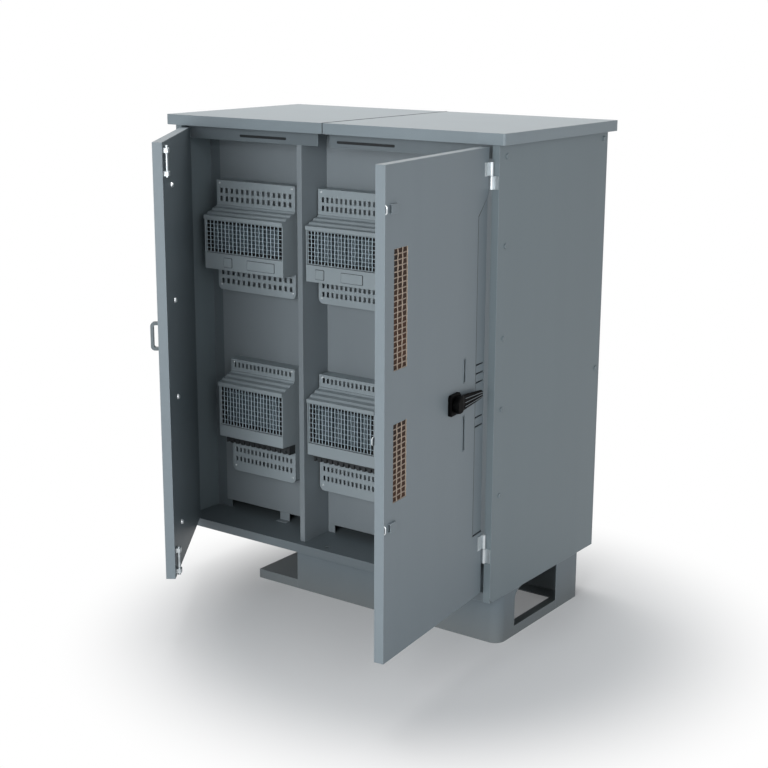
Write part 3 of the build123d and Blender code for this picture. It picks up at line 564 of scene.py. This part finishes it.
# Coolers and terminals: finned blocks of dull aluminium behind the guards, and blank terminal
# rows in dark moulded plastic, both screwed to the pans.
def dark_moulding(name, colour, roughness, pebble, shine=0.5):
    """Grained, slightly mottled moulding or casting."""
    material, shade = new_material(name)
    place = shade.node("ShaderNodeTexCoord", {}, {}, "Object")
    grain = noise(shade, place, 900.0, 2.0)
    cloud = noise(shade, place, 25.0, 4.0)
    rounded = shade.node("ShaderNodeBevel", {"samples": 4}, {"Radius": 0.0008})
    tinted = dimmed(shade, colour[:3], 0.75 + 0.5 * cloud)
    relief = {"Strength": pebble, "Distance": 0.0004, "Height": grain, "Normal": rounded}
    bump = shade.node("ShaderNodeBump", {}, relief)
    moulded = {
        "Base Color": tinted,
        "Roughness": roughness + 0.2 * cloud,
        "Normal": bump,
        "Specular IOR Level": shine,
    }
    body = shade.node("ShaderNodeBsdfPrincipled", {}, moulded)
    shade.node("ShaderNodeOutputMaterial", {}, {"Surface": body})
    return material


cooler_grey = dark_moulding("cooler_grey", linear(88, 98, 104), 0.5, 0.1)
terminal_black = dark_moulding("terminal_black", linear(48, 51, 53), 0.5, 0.1)
dress([module + "_cooler" for module in module_names], cooler_grey)
dress(["lower_left_terminals", "lower_right_terminals"], terminal_black)


# Wire guards: drawn wires, woven over and under each other and welded into a square-bar frame,
# set into each housing's window. The upright wires are the thicker ones. A black foam frame
# lies between each guard and the cooler behind it.
weave, weave_source = new_geometry("wire_weave", [
    ("Width", "NodeSocketFloat", 0.3),
    ("Height", "NodeSocketFloat", 0.1),
    ("Columns", "NodeSocketInt", 18),
    ("Rows", "NodeSocketInt", 8),
    ("Upright wire", "NodeSocketFloat", 0.001),
    ("Level wire", "NodeSocketFloat", 0.001),
    ("Frame", "NodeSocketFloat", 0.003),
    ("Bend", "NodeSocketFloat", 0.0008),
    ("Wire finish", "NodeSocketMaterial", None),
    ("Frame finish", "NodeSocketMaterial", None),
])


def from_input(label):
    return weave.other(weave_source, label)


wire_sides = 6
wire_steps = 4


def wire_set(axis, other_axis, length, across, count, crossings, radius, sign):
    """Parallel wires along one axis, bent over and under where the other set crosses them."""
    start = weave.node("ShaderNodeCombineXYZ", {}, {axis: length * -0.5})
    end = weave.node("ShaderNodeCombineXYZ", {}, {axis: length * 0.5})
    line = weave.node("GeometryNodeCurvePrimitiveLine", {}, {"Start": start, "End": end})
    fine = weave.node("GeometryNodeResampleCurve", {}, {"Curve": line, "Count": crossings * wire_steps + 1})
    first = weave.node("ShaderNodeCombineXYZ", {}, {other_axis: across * -0.5})
    step = weave.node("ShaderNodeCombineXYZ", {}, {other_axis: across / count})
    spots = {"Count": count + 1, "Start Location": first, "Offset": step}
    row = weave.node("GeometryNodeMeshLine", {"mode": "OFFSET"}, spots)
    many = weave.node("GeometryNodeInstanceOnPoints", {}, {"Points": row, "Instance": fine})
    real = weave.node("GeometryNodeRealizeInstances", {}, {"Geometry": many})
    place = weave.node("GeometryNodeInputPosition", {}, {})
    wave = sign * from_input("Bend")
    for direction, size, cells in (("X", "Width", "Columns"), ("Z", "Height", "Rows")):
        along = weave.node("ShaderNodeSeparateXYZ", {}, {0: place}, direction)
        wave = wave * ((along / from_input(size) + 0.5) * from_input(cells) * math.pi).cosine()
    lift = weave.node("ShaderNodeCombineXYZ", {}, {"Y": wave})
    bent = weave.node("GeometryNodeSetPosition", {}, {"Geometry": real, "Offset": lift})
    ring = weave.node("GeometryNodeCurvePrimitiveCircle", {}, {"Resolution": wire_sides, "Radius": radius})
    drawn = {"Curve": bent, "Profile Curve": ring, "Fill Caps": True}
    return weave.node("GeometryNodeCurveToMesh", {}, drawn)


def join(build, parts):
    joined = build.node("GeometryNodeJoinGeometry", {}, {})
    for part in parts:
        build.tree.links.new(part.socket, joined.socket.node.inputs[0])
    return joined


mesh_width = from_input("Width")
mesh_height = from_input("Height")
columns = from_input("Columns")
rows = from_input("Rows")
upright_wires = wire_set("Z", "X", mesh_height, mesh_width, columns, rows, from_input("Upright wire"), 1.0)
level_wires = wire_set("X", "Z", mesh_width, mesh_height, rows, columns, from_input("Level wire"), -1.0)
wires = join(weave, (upright_wires, level_wires))
wires = weave.node("GeometryNodeSetMaterial", {}, {"Geometry": wires, "Material": from_input("Wire finish")})
border_size = {"Width": mesh_width, "Height": mesh_height}
border = weave.node("GeometryNodeCurvePrimitiveQuadrilateral", {}, border_size)
border = weave.node("GeometryNodeTransform", {}, {"Geometry": border, "Rotation": (math.pi / 2, 0, 0)})
bar = weave.node("GeometryNodeCurvePrimitiveCircle", {}, {"Resolution": 4, "Radius": from_input("Frame")})
bars = weave.node("GeometryNodeCurveToMesh", {}, {"Curve": border, "Profile Curve": bar})
bars = weave.node("GeometryNodeSetMaterial", {}, {"Geometry": bars, "Material": from_input("Frame finish")})
whole = weave.node("GeometryNodeRealizeInstances", {}, {"Geometry": join(weave, (wires, bars))})
weave.node("NodeGroupOutput", {}, {"Geometry": whole})

guard_wire = plated_steel("guard_wire", linear(182, 200, 210), 0.40, plated=0.3)
guard_columns = 20
guard_rows = 8
guard_frame_radius = 0.0024
guard_upright_wire = 0.0013
guard_level_wire = 0.0008
guard_bend = 0.0008
foam_black = plain_coat("foam_black", linear(16, 18, 20), 0.95)
foam_side = 0.018
foam_top = 0.011
foam_gap = 0.0004
foam_setback = 0.001
foam_round = 0.0015


def foam_ring(name, low, high, side, top, material):
    """Foam frame between two corners, with its outer front edge bevelled."""

    def inner(y):
        return [(low.x + side, y, low.z + top), (high.x - side, y, low.z + top),
                (high.x - side, y, high.z - top), (low.x + side, y, high.z - top)]

    def outer(inset, y):
        return [(low.x + inset, y, low.z + inset), (high.x - inset, y, low.z + inset),
                (high.x - inset, y, high.z - inset), (low.x + inset, y, high.z - inset)]

    loops = [
        outer(0, high.y), outer(0, low.y + foam_round), outer(foam_round, low.y),
        inner(low.y), inner(high.y),
    ]
    faces = []
    for ring in range(len(loops)):
        following = (ring + 1) % len(loops)
        for number in range(4):
            after = (number + 1) % 4
            first = ring * 4
            second = following * 4
            faces.append((first + number, first + after, second + after, second + number))
    mesh = bpy.data.meshes.new(name)
    mesh.from_pydata([place for row in loops for place in row], [], faces)
    shape = bmesh.new()
    shape.from_mesh(mesh)
    bmesh.ops.recalc_face_normals(shape, faces=shape.faces)
    shape.to_mesh(mesh)
    shape.free()
    mesh.materials.append(material)
    return link_mesh(name, mesh)


for module in module_names:
    low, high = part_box(module + "_wire_guard")
    guard = make_geometry(module + "_woven_guard", weave, {
        "Width": high.x - low.x - 2 * guard_frame_radius,
        "Height": high.z - low.z - 2 * guard_frame_radius,
        "Columns": guard_columns,
        "Rows": guard_rows,
        "Upright wire": guard_upright_wire,
        "Level wire": guard_level_wire,
        "Frame": guard_frame_radius,
        "Bend": guard_bend,
        "Wire finish": guard_wire,
        "Frame finish": module_paint,
    })
    guard.data.transform(Matrix.Translation((low + high) / 2))
    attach(guard, "cabinet")
    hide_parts(module + "_wire_guard")
    cooler_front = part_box(module + "_cooler")[0].y
    foam_low = Vector((low.x, high.y + foam_setback, low.z))
    foam_high = Vector((high.x, cooler_front - foam_gap, high.z))
    foam = foam_ring(module + "_foam_seal", foam_low, foam_high, foam_side, foam_top, foam_black)
    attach(foam, "cabinet")


# Doors: folded leaves of painted sheet with a liner screwed into their backs. A strip pressed
# into the hinge side stiffens each leaf. A fine dark bead in the corner of its step is painted
# shade: it stands for the step's shadow.
def door_turn(joint_name):
    """Turn that carries the closed door to where it rests."""
    joint = next(row for row in frame["joints"] if row["name"] == joint_name)
    anchor = Vector(joint["pos_m"])
    angle = math.radians(-joint["range_deg"][0])
    spin = Matrix.Rotation(angle, 4, Vector(joint["axis"]))
    return Matrix.Translation(anchor) @ spin @ Matrix.Translation(-anchor)


turns = {"right_door": door_turn("right_door"), "left_door": door_turn("left_door")}


piece_gap = 0.1


def closed_boxes(name, door):
    """Boxes of a node's pieces on the closed door, from the lowest piece up."""
    back = turns[door].inverted()
    places = sorted((back @ vertex.co for vertex in nodes[name].data.vertices), key=lambda place: place.z)
    groups = [[places[0]]]
    for place in places[1:]:
        if place.z - groups[-1][-1].z > piece_gap:
            groups.append([])
        groups[-1].append(place)
    return [(Vector(map(min, zip(*group))), Vector(map(max, zip(*group)))) for group in groups]


def closed_box(name, door):
    """Box of a whole node on the closed door."""
    lows, highs = zip(*closed_boxes(name, door))
    return Vector(map(min, zip(*lows))), Vector(map(max, zip(*highs)))


door_paint = painted_sheet("door_paint", linear(120, 130, 136))
liner_paint = painted_sheet("liner_paint", linear(92, 101, 106))
dress(["right_door_skin", "left_door_skin"], door_paint)
dress(["right_door_liner", "left_door_liner"], liner_paint)
strip_width = 0.060
strip_step = 0.003
strip_low = 0.190
strip_bend = 0.183
strip_high = 0.130
strip_shade_bead = 0.0020
liner_screw_inset = 0.150
liner_screw_shares = (0.105, 0.367, 0.594, 0.90)
liner_screw_radius = 0.0085
liner_dome = 0.9
for door in ("right_door", "left_door"):
    prefix = door.split("_")[0]
    outward = 1 if door == "right_door" else -1
    low, high = closed_box(prefix + "_door_skin", door)
    hinge_x = high.x if outward > 0 else low.x
    free_x = low.x if outward > 0 else high.x
    inner_x = hinge_x - outward * (strip_width - strip_shade_bead)
    outer_x = hinge_x - outward * strip_shade_bead
    corner_y = low.y + strip_step - strip_shade_bead / 2
    line = [
        (outer_x, corner_y, low.z + strip_low + strip_shade_bead),
        (inner_x, corner_y, low.z + strip_low + strip_shade_bead),
        (inner_x, corner_y, high.z - strip_bend - strip_shade_bead),
        (outer_x, corner_y, high.z - strip_high - strip_shade_bead),
    ]
    # Painted shade: this dark bead stands for the shadow in the corner of the strip's step.
    strip = bead(prefix + "_strip_shade_bead", line, strip_shade_bead, sealant_and_shade)
    strip.data.transform(turns[door])
    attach(strip, door)
    screw_x = free_x + outward * liner_screw_inset
    liner_y = closed_box(prefix + "_door_liner", door)[1].y
    spots = [(screw_x, liner_y, high.z - share * (high.z - low.z)) for share in liner_screw_shares]
    add_screws(
        prefix + "_liner_screws", door, spots, face_back, liner_screw_radius, bright, turns[door], liner_dome
    )


# Slot lips: the edge of each tall slot beside the handle is rolled outwards into a small lip.
# The lips are part of the skin's sheet and carry its paint.
lip_radius = 0.0018
lip_edges = (0.124, 0.133)
lip_heights = ((0.468, 0.566), (0.664, 0.728))
skin_low, skin_high = closed_box("right_door_skin", "right_door")
for number, (lip_low, lip_high) in enumerate(lip_heights):
    near = skin_high.x - lip_edges[0] + lip_radius
    far = skin_high.x - lip_edges[1] - lip_radius
    bottom = skin_low.z + lip_low - lip_radius
    top = skin_low.z + lip_high + lip_radius
    lip = bead(f"slot_lip_{number + 1}", [
        (near, skin_low.y, bottom), (near, skin_low.y, top), (far, skin_low.y, top),
        (far, skin_low.y, bottom), (near, skin_low.y, bottom),
    ], lip_radius, door_paint)
    lip.data.transform(turns["right_door"])
    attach(lip, "right_door")


# Door vents: square mesh of copper-coloured wire behind each slot, with a dark fibre pad
# behind it. Both are clamped between the skin and the liner.
def fibre_pad(name, colour):
    """Matted fibre with rusty patches."""
    material, shade = new_material(name)
    place = shade.node("ShaderNodeTexCoord", {}, {}, "Object")
    fibre = noise(shade, place, 600.0, 5.0, 0.7)
    patch = noise(shade, place, 9.0, 3.0)
    base = blend(shade, (patch * 2.4 - 0.7).clamped(), colour, linear(84, 58, 44))
    tinted = dimmed(shade, base, 0.5 + fibre)
    bump = shade.node("ShaderNodeBump", {}, {"Strength": 0.6, "Distance": 0.001, "Height": fibre})
    matted = {"Base Color": tinted, "Roughness": 0.95, "Normal": bump}
    body = shade.node("ShaderNodeBsdfPrincipled", {}, matted)
    shade.node("ShaderNodeOutputMaterial", {}, {"Surface": body})
    return material


vent_wire = plated_steel("vent_wire", linear(166, 150, 136), 0.5, plated=0.2)
vent_pad = fibre_pad("filter_pad", linear(46, 38, 33))
vent_rows = (14, 21)
vent_columns = 3
vent_wire_radius = 0.0016
vent_bend = 0.0006
vent_hidden_edge = 0.008
for door in ("right_door", "left_door"):
    prefix = door.split("_")[0]
    dress([prefix + "_vent_filters"], vent_pad)
    for number, (low, high) in enumerate(closed_boxes(prefix + "_vent_meshes", door)):
        mesh = make_geometry(f"{prefix}_vent_weave_{number + 1}", weave, {
            "Width": high.x - low.x - 2 * vent_hidden_edge,
            "Height": high.z - low.z - 2 * vent_hidden_edge,
            "Columns": vent_columns,
            "Rows": vent_rows[number],
            "Upright wire": vent_wire_radius,
            "Level wire": vent_wire_radius,
            "Frame": vent_wire_radius,
            "Bend": vent_bend,
            "Wire finish": vent_wire,
            "Frame finish": vent_wire,
        })
        mesh.data.transform(turns[door] @ Matrix.Translation((low + high) / 2))
        mesh.data.shade_smooth()
        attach(mesh, door)
        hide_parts(prefix + "_vent_meshes")


# Hinges, lock bar and bolts: pressed, rolled and turned steel, zinc-plated and riveted on. The
# clips carry the door's paint, and a bright wire striker stands on its free edge beside each.
dress(["right_frame_knuckles", "left_frame_knuckles", "right_door_knuckles", "left_door_knuckles"], zinc)
dress(["right_hinge_pins", "left_hinge_pins", "lock_spindle", "drive_bar", "bar_guides"], zinc)
dress(["top_bolt", "bottom_bolt", "bolt_guides"], zinc)
dress(["right_edge_clips"], door_paint)
striker_radius = 0.0014
striker_reach = 0.0035
striker_height = 0.022
striker_inset = 0.0025
for number, (low, high) in enumerate(closed_boxes("right_edge_clips", "right_door")):
    middle = (low.z + high.z) / 2
    x = skin_low.x + striker_inset
    striker = bead(f"right_striker_{number + 1}", [
        (x, skin_low.y, middle - striker_height / 2),
        (x, skin_low.y - striker_reach, middle - striker_height / 2 + striker_reach),
        (x, skin_low.y - striker_reach, middle + striker_height / 2 - striker_reach),
        (x, skin_low.y, middle + striker_height / 2),
    ], striker_radius, bright)
    striker.data.transform(turns["right_door"])
    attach(striker, "right_door")


# Swing handle: a black glass-filled moulding on a square base. The lever tapers from its
# boss to its tip, with ridges along it, and it is pressed on the lock's spindle. Pale grey beads
# on the ridges are painted highlights.
handle_black = dark_moulding("handle_black", linear(6, 7, 8), 0.50, 0.2, 0.05)
dress(["handle_base"], handle_black)
lever_stations = 44
lever_points = 56
lever_ridges = 3
lever_corner = 0.42
lever_least_half = 0.0004
groove_depth = 0.0022
grip_share = 0.62
tip_share = 0.35
boss_reach = 0.75
boss_blend = 0.003
low, high = closed_box("swing_handle", "right_door")
hub_radius = (high.z - low.z) / 2
hub_z = (high.z + low.z) / 2
tip_radius = hub_radius / 2
length = high.x - low.x
hub_x = low.x + hub_radius
reach = length - hub_radius - tip_radius
lean = math.acos((hub_radius - tip_radius) / reach)
rings = []
for station in range(lever_stations + 1):
    share = (1 - math.cos(math.pi * station / lever_stations)) / 2
    x = low.x + share * length
    along = x - hub_x
    if along < hub_radius * math.cos(lean):
        half = math.sqrt(max(hub_radius ** 2 - along ** 2, 0))
    elif along > reach + tip_radius * math.cos(lean):
        half = math.sqrt(max(tip_radius ** 2 - (along - reach) ** 2, 0))
    else:
        half = (hub_radius - along * math.cos(lean)) / math.sin(lean)
    half = max(half, lever_least_half)
    boss = 1 / (1 + math.exp((along - hub_radius * boss_reach) / boss_blend))
    slope = min(1, tip_share + (1 - tip_share) * half / tip_radius)
    depth = (high.y - low.y) * (grip_share + (1 - grip_share) * boss) * slope
    ring = []
    for number in range(lever_points):
        angle = 2 * math.pi * number / lever_points
        up = math.copysign(abs(math.cos(angle)) ** lever_corner, math.cos(angle))
        out = math.copysign(abs(math.sin(angle)) ** lever_corner, math.sin(angle))
        wave = math.cos(math.pi * lever_ridges * (up + 1) + math.pi)
        groove = (1 - boss) * groove_depth * (0.5 - 0.5 * wave) if out > 0.5 else 0
        ring.append((x, high.y - depth * (0.5 + 0.5 * out) + groove, hub_z + half * up))
    rings.append(ring)
faces = []
for station in range(lever_stations):
    for number in range(lever_points):
        after = (number + 1) % lever_points
        first = station * lever_points
        second = first + lever_points
        faces.append((first + number, first + after, second + after, second + number))
faces.append(tuple(reversed(range(lever_points))))
faces.append(tuple(lever_stations * lever_points + number for number in range(lever_points)))
lever_mesh = bpy.data.meshes.new("swing_lever")
lever_mesh.from_pydata([place for ring in rings for place in ring], [], faces)
shape = bmesh.new()
shape.from_mesh(lever_mesh)
bmesh.ops.recalc_face_normals(shape, faces=shape.faces)
shape.to_mesh(lever_mesh)
shape.free()
lever_mesh.materials.append(handle_black)
lever_mesh.transform(turns["right_door"])
lever_mesh.shade_smooth()
lever = link_mesh("swing_lever", lever_mesh)
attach(lever, "handle")
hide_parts("swing_handle")
# The pale grey of these ridge beads is painted highlight: the glint of light along the ridges.
ridge_highlight_grey = dark_moulding("ridge_highlight_grey", linear(104, 112, 116), 0.35, 0.1)
ridge_radius = 0.0011
ridge_start_place = 1.35
ridge_start_spread = 0.48
ridge_end_spread = 0.55
ridge_start = hub_x + hub_radius * ridge_start_place
ridge_end = hub_x + reach
face_y = high.y - (high.y - low.y) * grip_share
for number in range(lever_ridges):
    spread = number - (lever_ridges - 1) / 2
    ridge = bead(f"lever_ridge_{number + 1}", [
        (ridge_start, face_y, hub_z + spread * hub_radius * ridge_start_spread),
        (ridge_end, face_y, hub_z + spread * tip_radius * ridge_end_spread),
    ], ridge_radius, ridge_highlight_grey)
    ridge.data.transform(turns["right_door"])
    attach(ridge, "handle")


# Pull handle of the left door: a small casting painted a darker grey than the door. It is
# screwed on from inside.
pull_grey = painted_sheet("pull_grey", linear(98, 106, 110), sheen=0.35)
dress(["left_pull_handle"], pull_grey)
